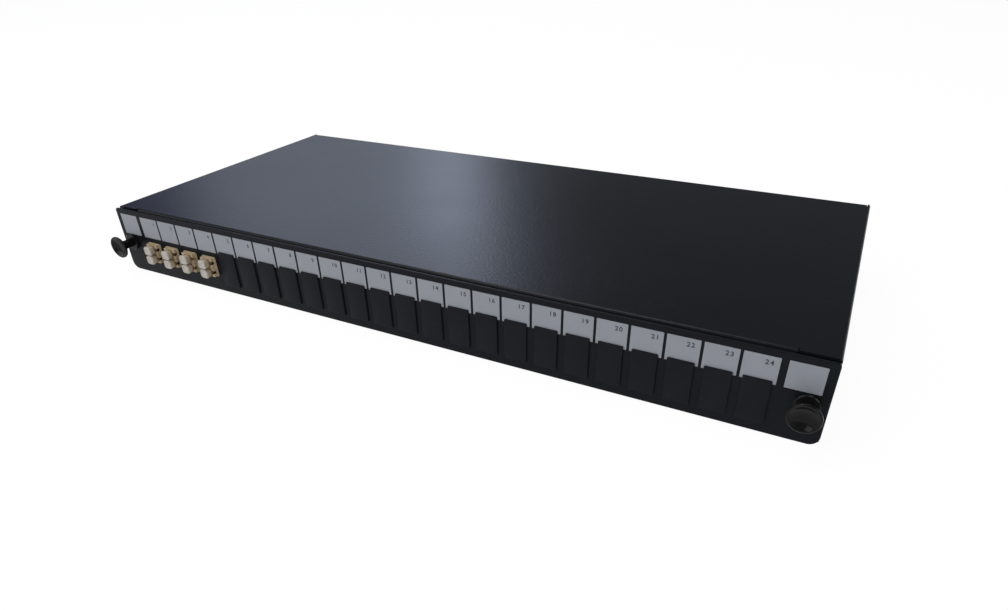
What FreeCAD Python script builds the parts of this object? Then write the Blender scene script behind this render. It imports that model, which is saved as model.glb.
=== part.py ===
import FreeCAD, Part
import math
import os

# A sliding fibre patch panel, one rack unit high, in millimetres.
# X runs along the front, +Y to the rear, +Z up; the origin is the centre of the base's underside.

os.makedirs("parts", exist_ok=True)

# Housing: a flat steel case with a mouth at the front for the drawer
housing_width = 442.0
housing_depth = 198.0
housing_height = 43.6
sheet = 1.2                 # steel sheet of the housing, the rails and the tray
bend = 0.5                  # inside radius of a fold
slit = 0.4                  # cut that frees the end of a fold
seam = 0.15                 # gap between two sheets that lie side by side
flange_width = 17.0         # front flange on each side of the mouth
front_lip = 3.6             # fold along the mouth's top edge
rear_lip_gap = 2.1          # from the cover's fold over the rear wall to the grommets below it
base_lip = 9.0              # low upright sides of the base
base_setback = 1.4          # gap between the front flanges and the base

# Holes in the side walls, two on each side, for a pair of rack brackets
bracket_hole = 4.2
bracket_pitch = 40.0
bracket_inset = 14.0        # from the front to the first hole
bracket_height = 21.8       # above the base's underside

# Cable entries in the rear wall, each with a rubber grommet
entry_spacing = 300.0
entry_height = 19.0
entry_hole = 21.0
grommet_bore = 13.0
grommet_flange = 25.0
grommet_lip = 2.2           # thickness of each grommet flange
grommet_fit = 0.05

# Drawer: fascia, tray and travel
travel = 140.0
stop_gap = 0.6              # room left at the stops when the drawer is fully out
fascia_height = 43.0
fascia_thickness = 1.5
fascia_corner = 5.0         # radius of the lower corners
fascia_top_corner = 2.0
fascia_lift = 0.3           # bottom edge of the fascia above the base's underside
fascia_gap = 2.0            # between the fascia and the front of the housing
tray_lift = 3.0             # underside of the tray above the base's underside
tray_wall = 27.0            # height of the tray's sides
tray_back = 10.0            # height of the tray's rear wall
front_fold_gap = 1.25       # from the fold behind the foot of the fascia to the snaps above it
weld_tab_gap = 0.5          # between a glide and the weld tab above it
weld_tab_high = 28.0
stop_tab = 9.5              # reach of the tray's stops beyond its sides
stop_clearance = 0.8        # between a stop and the rail below it
stop_high = 27.0

# Rails and glides that carry the drawer
slide_gap = 0.4             # room around a glide
slide_play = 0.15           # height of a glide above the base's floor
glide_width = 4.6
glide_top = 9.0
glide_edge = 0.9
rail_length = 165.0
rail_gap = 1.95             # between a rail's foot and the fold of the base beside it
rail_lip_gap = 0.8          # between a rail's lip and the tray's side

# Ports: one row of cut-outs
port_pitch = 16.6
port_width = 9.8
port_centre = 17.0          # above the base's underside
port_fit = 0.2              # room around a body in its cut-out
adapter_count = 4           # adapters fill the first ports and blanks the others

# Duplex adapter: two square sockets, one above the other, back to back through a partition
adapter_front = 3.0         # front face ahead of the fascia
adapter_rear = 22.0         # rear face behind the front of the fascia
adapter_lip = 0.9           # thickness of the lip that sits on the fascia
adapter_lip_side = 0.6      # reach of the lip past the port on the left and right
adapter_lip_rise = 0.2      # the same above and below
adapter_corner = 0.7
socket_pitch = 6.25
socket_width = 5.2
socket_height = 5.2
adapter_wall = 0.375        # above and below the sockets
socket_notch = 1.3          # reach of the notch beside a front socket for a connector's catch
socket_notch_height = 2.4
socket_notch_depth = 2.2
sleeve_bore = 2.0           # across the flats
partition = 6.8

# Spring clip around an adapter
clip_thickness = 0.3
clip_band = 5.0
clip_start = 5.5            # band's front edge behind the back of the fascia
clip_wing = 1.3             # how far a wing springs out
clip_wing_height = 5.0
clip_fit = 0.05

# Dust caps
cap_width = 6.2
cap_gap = 0.45              # between the two caps of an adapter
cap_length = 4.2
cap_corner = 1.7
cap_taper = 0.5             # how far the face's edge is broken back
cap_taper_length = 0.6
cap_waist = 3.0             # width where the head meets the plug
cap_recess = 1.0            # front of the plug behind the adapter's face
cap_plug = 4.2              # depth in the socket
cap_fit = 0.15
rear_cap_plate = 1.6
rear_cap_grip = 3.0

# Blank for an unused port
blank_width = 12.4
blank_height = 22.4
blank_thickness = 1.0
blank_bevel = 0.35
blank_skirt = 4.0           # depth of the skirt behind the fascia
blank_wall = 1.0
snap_reach = 0.45
snap_length = 2.0
snap_gap = 0.1
snap_width = 6.0

# Push-pull latch: a knob on a plunger, which slides in a split collar
latch_height = 21.0         # above the base's underside
knob_diameter = 14.4
knob_reach = 12.0           # rim of the pulled knob ahead of the fascia
knob_rim = 1.6              # height of the knob's edge
knob_rim_width = 1.2
knob_dish = 1.4             # depth of the hollow in the knob's face
knob_flare = 8.6            # diameter where the stem turns out into the head
knob_flare_rise = 2.6       # from the foot of the stem's taper to there
knob_push = 4.2
knob_gap = 0.3              # left between the pushed knob and the collar
plunger_diameter = 5.5
plunger_play = 0.05
collar_diameter = 10.8
collar_thickness = 2.0
collar_wall = 1.4           # wall of the split barrel behind the collar
collar_reach = 8.0          # end of the barrel behind the front of the fascia
collar_slot = 1.0
latch_fit = 0.1             # room around the barrel in the fascia
latch_clearance = 0.6       # room around the barrel in the housing's flange

# Splice cassette on the tray
cassette_width = 150.0
cassette_depth = 90.0
cassette_height = 10.0
cassette_wall = 1.6
cassette_corner = 20.0
cassette_margin = 3.0       # to the tray's rear wall
cassette_door = 9.0         # width of the fibre doors in the cassette's wall
cassette_door_inset = 34.0
boss_size = 44.0            # across the flats
boss_gap = 5.4              # room for fibre between a boss and the cassette's wall
boss_height = 7.0
foot_width = 6.0            # clip feet under the cassette
foot_thickness = 1.6
foot_hook = 0.8
foot_fit = 0.15
foot_spacing = 124.0
lid_thickness = 1.6
lid_bar = 1.5               # width and height of the locating bars
lid_fit = 0.25
comb_gap = 3.0              # between the comb and the bosses beside it
comb_slots = 12
comb_slot = 2.6
comb_tooth = 1.2
comb_base = 1.4
comb_height = 5.0

# Cable tie slots in the tray's floor
tie_slot_width = 2.2
tie_slot_length = 6.0
tie_slot_gap = 5.0
tie_spacing = 70.0
tie_inset = 10.0            # behind the adapters

# Places that follow from the sizes above
half_width = housing_width / 2
front_y = -housing_depth / 2
rear_y = housing_depth / 2
fold_zone = sheet + bend
fold_run = 2 * fold_zone
base_front = front_y + sheet + base_setback
base_half = half_width - sheet - seam
wall_y = rear_y - sheet - seam
fascia_y = front_y - fascia_gap - fascia_thickness
tray_front = fascia_y + fascia_thickness
tray_rear = front_y + 2 * sheet + travel + stop_gap
mouth_half = half_width - flange_width
glide_out = mouth_half - slide_gap
tray_half = glide_out - glide_width
tray_inner = tray_half - sheet
tray_floor = tray_lift + sheet
latch_x = half_width - flange_width / 2
barrel_diameter = plunger_diameter + 2 * plunger_play + 2 * collar_wall
rear_lip = housing_height - entry_height - grommet_flange / 2 - rear_lip_gap
rail_foot = base_half - fold_zone - rail_gap - mouth_half
port_height = socket_pitch + socket_height + 2 * (adapter_wall + port_fit)
adapter_lip_width = port_width + 2 * adapter_lip_side
adapter_lip_height = port_height + 2 * adapter_lip_rise
front_fold = port_centre - port_height / 2 - snap_reach - front_fold_gap - tray_lift
cap_height = socket_pitch - cap_gap
clip_side = port_width / 2 - port_fit + clip_fit
clip_reach = clip_side + clip_wing + clip_thickness + clip_fit
port_room = 2 * max(blank_width / 2, clip_reach)
port_count = 1 + int((2 * tray_inner - port_room) / port_pitch)
cassette_y = tray_rear - sheet - cassette_margin - cassette_depth / 2
boss_spacing = cassette_width - 2 * (cassette_wall + boss_gap) - boss_size
comb_length = boss_spacing - boss_size - 2 * comb_gap
rail_front = base_front
stop_low = glide_top + slide_gap + sheet + stop_clearance
weld_tab_low = glide_top + weld_tab_gap
left_of_path = 1
right_of_path = -1
sharp = 0.0


def at_point(plane, u, v, level):
    # XY lies flat, XZ faces the front and YZ faces the side
    places = {"XY": (u, v, level), "XZ": (u, level, v), "YZ": (level, u, v)}
    return FreeCAD.Vector(*places[plane])


def across(plane, length):
    ways = {"XY": (0, 0, length), "XZ": (0, length, 0), "YZ": (length, 0, 0)}
    return FreeCAD.Vector(*ways[plane])


def unit(start, end):
    du = end[0] - start[0]
    dv = end[1] - start[1]
    size = math.hypot(du, dv)
    return du / size, dv / size


def corner_points(before, here, after):
    # Start, middle and end of the arc that rounds one corner; all three are the corner where it is sharp
    radius = here[2] if len(here) > 2 else 0.0
    inward = unit(before, here)
    outward = unit(here, after)
    cosine = inward[0] * outward[0] + inward[1] * outward[1]
    half_turn = math.acos(max(-1.0, min(1.0, cosine))) / 2
    if radius == 0.0 or half_turn < 1e-6:
        return [here[:2]] * 3
    trim = radius * math.tan(half_turn)
    depth = radius * (1 / math.cos(half_turn) - 1)
    towards = unit(inward, outward)
    start = (here[0] - inward[0] * trim, here[1] - inward[1] * trim)
    middle = (here[0] + towards[0] * depth, here[1] + towards[1] * depth)
    end = (here[0] + outward[0] * trim, here[1] + outward[1] * trim)
    return [start, middle, end]


def outline(corners, plane, level):
    # A closed wire through (u, v) or (u, v, radius) corners
    count = len(corners)
    rounds = [corner_points(corners[n - 1], corners[n], corners[(n + 1) % count]) for n in range(count)]
    edges = []
    for n in range(count):
        start, middle, end = [at_point(plane, p[0], p[1], level) for p in rounds[n]]
        following = at_point(plane, *rounds[(n + 1) % count][0], level)
        if start.distanceToPoint(end) > 1e-6:
            edges.append(Part.Arc(start, middle, end).toShape())
        if end.distanceToPoint(following) > 1e-6:
            edges.append(Part.LineSegment(end, following).toShape())
    return Part.Wire(edges)


def prism(corners, plane, level, length, holes=()):
    wires = [outline(corners, plane, level)] + [outline(hole, plane, level) for hole in holes]
    face = Part.makeFace(wires, "Part::FaceMakerBullseye")
    return face.extrude(across(plane, length))


def rectangle(u, v, width, height, radius=0.0):
    # Corners of a rectangle about its centre
    half_u = width / 2
    half_v = height / 2
    signs = [(-1, -1), (1, -1), (1, 1), (-1, 1)]
    return [(u + a * half_u, v + b * half_v, radius) for a, b in signs]


def block(low, high):
    size = [high[n] - low[n] for n in range(3)]
    return Part.makeBox(*size, FreeCAD.Vector(*low))


def folded(path, side, plane, level, length, thickness=sheet, radius=bend):
    # A strip of even thickness folded along a path, which is one face of it; sharp folds have no radius
    count = len(path)
    ways = [unit(path[n], path[n + 1]) for n in range(count - 1)]
    near = []
    far = []
    for n in range(count):
        first = ways[max(n - 1, 0)]
        second = ways[min(n, count - 2)]
        scale = side * thickness / (1 + first[0] * second[0] + first[1] * second[1])
        offset = (-(first[1] + second[1]) * scale, (first[0] + second[0]) * scale)
        turn = first[0] * second[1] - first[1] * second[0]
        bent = radius > 0 and n not in (0, count - 1)
        inside = radius if bent else 0.0
        outside = radius + thickness if bent else 0.0
        path_is_outer = turn * side > 0
        near.append((*path[n], outside if path_is_outer else inside))
        far.append((path[n][0] + offset[0], path[n][1] + offset[1], inside if path_is_outer else outside))
    return prism(near + far[::-1], plane, level, length)


def turned(corners, direction, point):
    # A body turned about an axis from (radius, height) corners
    face = Part.Face(outline(corners, "XZ", 0.0))
    body = face.revolve(FreeCAD.Vector(0, 0, 0), FreeCAD.Vector(0, 0, 1), 360)
    turn = FreeCAD.Rotation(FreeCAD.Vector(0, 0, 1), FreeCAD.Vector(*direction))
    body.Placement = FreeCAD.Placement(FreeCAD.Vector(*point), turn)
    return body


def rod(diameter, start, way):
    # A plain cylinder from a point along a vector, mostly a cutter for a hole
    axis = FreeCAD.Vector(*way)
    return Part.makeCylinder(diameter / 2, axis.Length, FreeCAD.Vector(*start), axis)


def mirrored(shape):
    return shape.mirror(FreeCAD.Vector(0, 0, 0), FreeCAD.Vector(1, 0, 0))


def spread(count, start, end):
    return [start + (end - start) * n / (count - 1) for n in range(count)]


def save(name, shape):
    shape.exportStep(f"parts/{name}.step")


def port_x(number):
    return (number - (port_count + 1) / 2) * port_pitch


def cover():
    # Top and sides in one sheet, with a lip over the mouth, a flange beside it and a lip over the rear wall
    top = housing_height
    body = folded(
        [(-half_width, 0), (-half_width, top), (half_width, top), (half_width, 0)],
        right_of_path, "XZ", front_y, housing_depth)
    lip_half = mouth_half - slit
    relief = fold_zone + slit
    body = body.cut(block((-mouth_half, front_y, top - sheet), (mouth_half, front_y + relief, top)))
    body = body.fuse(folded(
        [(front_y + relief, top), (front_y, top), (front_y, top - front_lip)],
        left_of_path, "YZ", -lip_half, 2 * lip_half))
    rear_half = half_width - sheet - bend
    body = body.cut(block((-rear_half, rear_y - fold_run, top - sheet), (rear_half, rear_y, top)))
    body = body.fuse(folded(
        [(rear_y - fold_run, top), (rear_y, top), (rear_y, top - rear_lip)],
        right_of_path, "YZ", slit - rear_half, 2 * (rear_half - slit)))
    flange_room = top - sheet - bend
    flange = folded(
        [(half_width, front_y + fold_run), (half_width, front_y), (mouth_half, front_y)],
        right_of_path, "XY", 0, flange_room - slit)
    wall_end = block((half_width - sheet, front_y, 0), (half_width, front_y + fold_run, flange_room))
    latch_hole = rod(barrel_diameter + 2 * latch_clearance, (latch_x, front_y, latch_height), (0, sheet, 0))
    flange = flange.cut(latch_hole)
    body = body.cut([wall_end, mirrored(wall_end)])
    body = body.fuse([flange, mirrored(flange)])
    return body.cut(bracket_holes()).removeSplitter()


def bracket_holes():
    first = front_y + bracket_inset
    places = [first, first + bracket_pitch]
    return [rod(bracket_hole, (-half_width, y, bracket_height), (housing_width, 0, 0)) for y in places]


def base():
    # Floor with low sides that stand inside the cover, and the rear wall
    body = folded(
        [(-base_half, base_lip), (-base_half, 0), (base_half, 0), (base_half, base_lip)],
        left_of_path, "XZ", base_front, wall_y - base_front)
    wall_half = base_half - sheet - bend
    body = body.cut(block((-wall_half, wall_y - fold_run, 0), (wall_half, wall_y, sheet)))
    wall_top = housing_height - sheet - bend - seam
    body = body.fuse(folded(
        [(wall_y - fold_run, 0), (wall_y, 0), (wall_y, wall_top)],
        left_of_path, "YZ", slit - wall_half, 2 * (wall_half - slit)))
    cutters = []
    for way in (-1, 1):
        entry = (way * entry_spacing / 2, wall_y - sheet, entry_height)
        cutters.append(rod(entry_hole, entry, (0, sheet, 0)))
    return body.cut(cutters).removeSplitter()


def rail():
    # A foot welded to the floor, a web beside the glide and a lip above it
    under_lip = glide_top + slide_gap
    return folded(
        [(mouth_half + rail_foot, sheet), (mouth_half, sheet),
         (mouth_half, under_lip), (tray_half + rail_lip_gap, under_lip)],
        right_of_path, "XZ", rail_front, rail_length)


def cable_grommet(x):
    # A rubber ring with a groove for the edge of the rear wall
    bore = grommet_bore / 2
    flange = grommet_flange / 2
    groove = entry_hole / 2 - grommet_fit
    near = sheet / 2 + grommet_fit
    end = near + grommet_lip
    profile = [(bore, -end), (flange, -end), (flange, -near), (groove, -near),
               (groove, near), (flange, near), (flange, end), (bore, end)]
    return turned(profile, (0, 1, 0), (x, wall_y - sheet / 2, entry_height))


def fascia():
    # A flat plate with round corners, one cut-out for each port and a hole for each latch
    middle = fascia_lift + fascia_height / 2
    plate = rectangle(0, middle, housing_width, fascia_height, fascia_corner)[:2]
    plate += rectangle(0, middle, housing_width, fascia_height, fascia_top_corner)[2:]
    ports = [rectangle(port_x(n), port_centre, port_width, port_height) for n in range(1, port_count + 1)]
    body = prism(plate, "XZ", fascia_y, fascia_thickness, ports)
    size = barrel_diameter + 2 * latch_fit
    way = (0, fascia_thickness, 0)
    return body.cut([rod(size, (side * latch_x, fascia_y, latch_height), way) for side in (-1, 1)])


def tray():
    # Floor and sides in one sheet, with tabs for the fascia at the front and stops at the rear
    wall_top = tray_lift + tray_wall
    body = folded(
        [(-tray_half, wall_top), (-tray_half, tray_lift), (tray_half, tray_lift), (tray_half, wall_top)],
        left_of_path, "XZ", tray_front, tray_rear - tray_front)
    fold_half = tray_inner - bend
    ends = [
        block((-fold_half, tray_front, tray_lift), (fold_half, tray_front + fold_run, tray_floor)),
        block((-fold_half, tray_rear - fold_run, tray_lift), (fold_half, tray_rear, tray_floor))]
    front_end = block((tray_inner, tray_front, weld_tab_low - slit),
                      (tray_half, tray_front + fold_run, wall_top))
    rear_end = block((tray_inner, tray_rear - fold_run, stop_low - slit), (tray_half, tray_rear, wall_top))
    body = body.cut(ends + [front_end, mirrored(front_end), rear_end, mirrored(rear_end)])
    front_wall = folded(
        [(tray_front + fold_run, tray_lift), (tray_front, tray_lift), (tray_front, tray_lift + front_fold)],
        right_of_path, "YZ", slit - fold_half, 2 * (fold_half - slit))
    rear_wall = folded(
        [(tray_rear - fold_run, tray_lift), (tray_rear, tray_lift), (tray_rear, tray_lift + tray_back)],
        left_of_path, "YZ", slit - fold_half, 2 * (fold_half - slit))
    weld_tab = folded(
        [(tray_inner, tray_front + fold_run), (tray_inner, tray_front), (glide_out, tray_front)],
        left_of_path, "XY", weld_tab_low, weld_tab_high - weld_tab_low, sheet, sharp)
    stop = folded(
        [(tray_inner, tray_rear - fold_run), (tray_inner, tray_rear), (tray_half + stop_tab, tray_rear)],
        right_of_path, "XY", stop_low, stop_high - stop_low, sheet, sharp)
    body = body.fuse([front_wall, rear_wall, weld_tab, mirrored(weld_tab), stop, mirrored(stop)])
    return body.cut(tie_slots() + cassette_slots()).removeSplitter()


def tie_slots():
    count = int(2 * tray_inner / tie_spacing)
    reach = tie_spacing * (count - 1) / 2
    slots = []
    for x in spread(count, -reach, reach):
        for side in (-1, 1):
            centre = x + side * (tie_slot_gap + tie_slot_width) / 2
            corners = rectangle(centre, tray_front + fold_run + tie_inset + adapter_rear,
                                tie_slot_width, tie_slot_length)
            slots.append(prism(corners, "XY", tray_lift, sheet))
    return slots


def glide():
    # A nylon strip stuck to the tray's side, which runs on the base under the rail's lip
    low = sheet + slide_play
    near = glide_out - glide_edge
    profile = [(tray_half, low), (near, low), (glide_out, low + glide_edge),
               (glide_out, glide_top - glide_edge), (near, glide_top), (tray_half, glide_top)]
    return prism(profile, "XZ", tray_front + sheet, tray_rear - tray_front - 2 * sheet)


def octagon(x, z, width, height, corner):
    # Corners of a rectangle about its centre, each broken by a flat
    half_x = width / 2
    half_z = height / 2
    near_x = half_x - corner
    near_z = half_z - corner
    steps = [(-half_x, -near_z), (-near_x, -half_z), (near_x, -half_z), (half_x, -near_z),
             (half_x, near_z), (near_x, half_z), (-near_x, half_z), (-half_x, near_z)]
    return [(x + u, z + v) for u, v in steps]


def facet(points):
    return Part.Face(Part.makePolygon(points + points[:1]))


def stacked(levels):
    # A block through outlines of as many corners, each at its own depth
    rings = [[at_point("XZ", corner[0], corner[1], level) for corner in ring] for ring, level in levels]
    faces = [facet(rings[0]), facet(rings[-1])]
    for near, far in zip(rings, rings[1:]):
        for n in range(len(near)):
            faces.append(facet([near[n - 1], near[n], far[n], far[n - 1]]))
    return Part.Solid(Part.Shell(faces))


def adapter(number):
    # Body through the fascia with a lip, two sockets at each end, sleeve bores between them and catch notches
    x = port_x(number)
    front = fascia_y - adapter_front
    length = adapter_front + adapter_rear
    body_width = port_width - 2 * port_fit
    body_height = port_height - 2 * port_fit
    body = prism(rectangle(x, port_centre, body_width, body_height), "XZ", front, length)
    lip = octagon(x, port_centre, adapter_lip_width, adapter_lip_height, adapter_corner)
    body = body.fuse(prism(lip, "XZ", fascia_y - adapter_lip, adapter_lip))
    depth = (length - partition) / 2
    cutters = []
    for z in socket_z():
        socket = rectangle(x, z, socket_width, socket_height)
        cutters.append(prism(socket, "XZ", front, depth))
        cutters.append(prism(socket, "XZ", front + depth + partition, depth))
        notch = rectangle(x + socket_width / 2, z, 2 * socket_notch, socket_notch_height)
        cutters.append(prism(notch, "XZ", front, socket_notch_depth))
        bore = octagon(x, z, sleeve_bore, sleeve_bore, sleeve_bore / (2 + math.sqrt(2)))
        cutters.append(prism(bore, "XZ", front + depth, partition))
    return body.cut(cutters).removeSplitter()


def socket_z():
    return [port_centre + socket_pitch / 2, port_centre - socket_pitch / 2]


def adapter_clip(number):
    # A spring band over the top and sides of the body, with a wing on each side behind the fascia
    x = port_x(number)
    top = port_centre + port_height / 2 - port_fit + clip_fit
    low = port_centre - port_height / 2 + port_fit
    band_y = tray_front + clip_start
    band = folded(
        [(x - clip_side, low), (x - clip_side, top), (x + clip_side, top), (x + clip_side, low)],
        left_of_path, "XZ", band_y, clip_band, clip_thickness, sharp)
    wing = folded(
        [(clip_side, band_y + clip_band), (clip_side, band_y),
         (clip_side + clip_wing, tray_front + clip_fit)],
        left_of_path, "XY", port_centre - clip_wing_height / 2, clip_wing_height, clip_thickness, sharp)
    other = mirrored(wing)
    wing.translate(FreeCAD.Vector(x, 0, 0))
    other.translate(FreeCAD.Vector(x, 0, 0))
    return band.fuse([wing, other]).removeSplitter()


def dust_cap(x, z):
    # A head that flares from a slim waist to a broad rounded face, on a plug that fills the socket
    seat = fascia_y - adapter_front
    front = seat - cap_length
    plug_front = seat + cap_recess
    face_corner = cap_corner * (cap_height - 2 * cap_taper) / cap_height
    face = octagon(x, z, cap_width - 2 * cap_taper, cap_height - 2 * cap_taper, face_corner)
    wide = octagon(x, z, cap_width, cap_height, cap_corner)
    waist = octagon(x, z, cap_waist, cap_waist, cap_corner * cap_waist / cap_height)
    head = stacked([(face, front), (wide, front + cap_taper_length), (waist, plug_front)])
    plug = rectangle(x, z, socket_width - 2 * cap_fit, socket_height - 2 * cap_fit)
    return head.fuse(prism(plug, "XZ", plug_front, cap_plug - cap_recess)).removeSplitter()


def rear_cap(number):
    # Two plugs on one plate with a grip
    x = port_x(number)
    seat = fascia_y + adapter_rear
    plate = rectangle(x, port_centre, socket_width, socket_pitch + socket_height)
    body = prism(plate, "XZ", seat, rear_cap_plate)
    grip = rectangle(x, port_centre, rear_cap_plate, socket_pitch)
    parts = [prism(grip, "XZ", seat + rear_cap_plate, rear_cap_grip)]
    for z in socket_z():
        plug = rectangle(x, z, socket_width - 2 * cap_fit, socket_height - 2 * cap_fit)
        parts.append(prism(plug, "XZ", seat - cap_plug, cap_plug))
    return body.fuse(parts).removeSplitter()


def blank(number):
    # A plate with bevelled edges, and a hollow skirt that snaps into the cut-out
    x = port_x(number)
    wide = rectangle(x, port_centre, blank_width, blank_height)
    narrow = rectangle(x, port_centre, blank_width - 2 * blank_bevel, blank_height - 2 * blank_bevel)
    front = fascia_y - blank_thickness
    plate = stacked([(narrow, front), (wide, front + blank_bevel), (wide, fascia_y)])
    skirt_width = port_width - 2 * port_fit
    skirt_height = port_height - 2 * port_fit
    hollow = rectangle(x, port_centre, skirt_width - 2 * blank_wall, skirt_height - 2 * blank_wall)
    skirt = prism(rectangle(x, port_centre, skirt_width, skirt_height), "XZ", fascia_y,
                  fascia_thickness + blank_skirt, [hollow])
    snaps = []
    start = tray_front + snap_gap
    for way in (-1, 1):
        edge = port_centre + way * skirt_height / 2
        wedge = [(start, edge), (start, edge + way * (snap_reach + port_fit)), (start + snap_length, edge)]
        snaps.append(prism(wedge, "YZ", x - snap_width / 2, snap_width))
    return plate.fuse([skirt] + snaps).removeSplitter()


def latch_collar(x):
    # A collar on the fascia, and a barrel split into two legs that passes the housing's flange
    bore = plunger_diameter / 2 + plunger_play
    barrel = barrel_diameter / 2
    collar = collar_diameter / 2
    profile = [(bore, collar_thickness), (collar, collar_thickness), (collar, 0), (barrel, 0),
               (barrel, -collar_reach), (bore, -collar_reach)]
    body = turned(profile, (0, -1, 0), (x, fascia_y, latch_height))
    half = collar_slot / 2
    slot = block((x - half, tray_front + latch_fit, latch_height - barrel),
                 (x + half, fascia_y + collar_reach, latch_height + barrel))
    return body.cut(slot)


def latch_knob(x):
    # A trumpet head with a hollow face, shown pulled out; pushed in, the plunger fills the barrel
    plunger = plunger_diameter / 2
    head = knob_diameter / 2
    recess = head - knob_rim_width
    tip = knob_push - collar_reach
    under = collar_thickness + knob_push + knob_gap
    profile = [(0, tip), (plunger, tip), (plunger, under), (knob_flare / 2, under + knob_flare_rise),
               (head, knob_reach - knob_rim), (head, knob_reach), (recess, knob_reach),
               (recess, knob_reach - knob_dish), (0, knob_reach - knob_dish)]
    return turned(profile, (0, -1, 0), (x, fascia_y, latch_height))


def cassette_base():
    # A shallow moulded tray with fibre doors, and two eight-sided bosses that the fibre winds around
    footprint = rectangle(0, cassette_y, cassette_width, cassette_depth, cassette_corner)
    inner = rectangle(0, cassette_y, cassette_width - 2 * cassette_wall, cassette_depth - 2 * cassette_wall,
                      cassette_corner - cassette_wall)
    floor = tray_floor + cassette_wall
    body = prism(footprint, "XY", tray_floor, cassette_wall)
    body = body.fuse(prism(footprint, "XY", floor, cassette_height - cassette_wall, [inner]))
    for way in (-1, 1):
        corner = boss_size / (2 + math.sqrt(2))
        boss = octagon(way * boss_spacing / 2, cassette_y, boss_size, boss_size, corner)
        body = body.fuse(prism(boss, "XY", floor, boss_height))
    doors = []
    for way in (-1, 1):
        x = way * (cassette_width / 2 - cassette_door_inset)
        for edge in (-1, 1):
            y = cassette_y + edge * (cassette_depth - cassette_wall) / 2
            doors.append(block((x - cassette_door / 2, y - cassette_wall / 2, floor),
                               (x + cassette_door / 2, y + cassette_wall / 2, tray_floor + cassette_height)))
    body = body.cut(doors)
    return body.fuse([cassette_foot(way) for way in (-1, 1)]).removeSplitter()


def cassette_foot(way):
    # A hook through the tray's floor, turned outwards below it
    inner = way * foot_spacing / 2
    outer = inner + way * foot_thickness
    hook = outer + way * foot_hook
    low = tray_lift - foot_hook - foot_fit
    corners = [(inner, tray_floor), (inner, low), (hook, low), (hook, tray_lift - foot_fit),
               (outer, tray_lift - foot_fit), (outer, tray_floor)]
    return prism(corners, "XZ", cassette_y - foot_width / 2, foot_width)


def cassette_slots():
    # Each lets a hook through and takes it sideways
    slots = []
    for way in (-1, 1):
        inner = way * (foot_spacing / 2 - foot_fit)
        outer = inner + way * (foot_thickness + foot_hook + 2 * foot_fit)
        low = min(inner, outer)
        high = max(inner, outer)
        half = foot_width / 2 + foot_fit
        slots.append(block((low, cassette_y - half, tray_lift), (high, cassette_y + half, tray_floor)))
    return slots


def cassette_lid():
    # A plate on the cassette's wall with four locating bars inside it
    top = tray_floor + cassette_height
    plate = rectangle(0, cassette_y, cassette_width, cassette_depth, cassette_corner)
    body = prism(plate, "XY", top, lid_thickness)
    inset = cassette_wall + lid_fit + lid_bar / 2
    half_x = cassette_width / 2 - inset
    half_y = cassette_depth / 2 - inset
    long_bar = cassette_width - 2 * cassette_corner
    short_bar = cassette_depth - 2 * cassette_corner
    for way in (-1, 1):
        bars = [rectangle(0, cassette_y + way * half_y, long_bar, lid_bar),
                rectangle(way * half_x, cassette_y, lid_bar, short_bar)]
        body = body.fuse([prism(bar, "XY", top - lid_bar, lid_bar) for bar in bars])
    return body.removeSplitter()


def splice_comb():
    # A row of slots that hold the splice sleeves side by side
    floor = tray_floor + cassette_wall
    pitch = comb_slot + comb_tooth
    length = comb_slots * pitch + comb_tooth
    start = cassette_y - length / 2
    corners = [(start, floor), (start + length, floor)]
    for n in range(comb_slots, -1, -1):
        tooth = start + n * pitch
        corners.append((tooth + comb_tooth, floor + comb_height))
        corners.append((tooth, floor + comb_height))
        if n > 0:
            corners.append((tooth, floor + comb_base))
            corners.append((tooth - comb_slot, floor + comb_base))
    return prism(corners, "YZ", -comb_length / 2, comb_length)


save("outer_cover", cover())
save("housing_base", base())
save("right_rail", rail())
save("left_rail", mirrored(rail()))
save("cable_grommets", Part.makeCompound([cable_grommet(way * entry_spacing / 2) for way in (-1, 1)]))

save("fascia", fascia())
save("tray_pan", tray())
save("right_glide", glide())
save("left_glide", mirrored(glide()))

for port in range(1, port_count + 1):
    if port <= adapter_count:
        save(f"adapter_{port:02d}", adapter(port))
        save(f"adapter_clip_{port:02d}", adapter_clip(port))
        save(f"rear_cap_{port:02d}", rear_cap(port))
        for place, height in zip(("upper", "lower"), socket_z()):
            save(f"dust_cap_{port:02d}_{place}", dust_cap(port_x(port), height))
    else:
        save(f"blank_{port:02d}", blank(port))

save("cassette_base", cassette_base())
save("cassette_lid", cassette_lid())
save("splice_comb", splice_comb())

save("latch_collars", Part.makeCompound([latch_collar(way * latch_x) for way in (-1, 1)]))
save("left_latch_knob", latch_knob(-latch_x))
save("right_latch_knob", latch_knob(latch_x))
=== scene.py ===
import bpy, bmesh, math
from mathutils import Matrix, Vector


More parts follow.
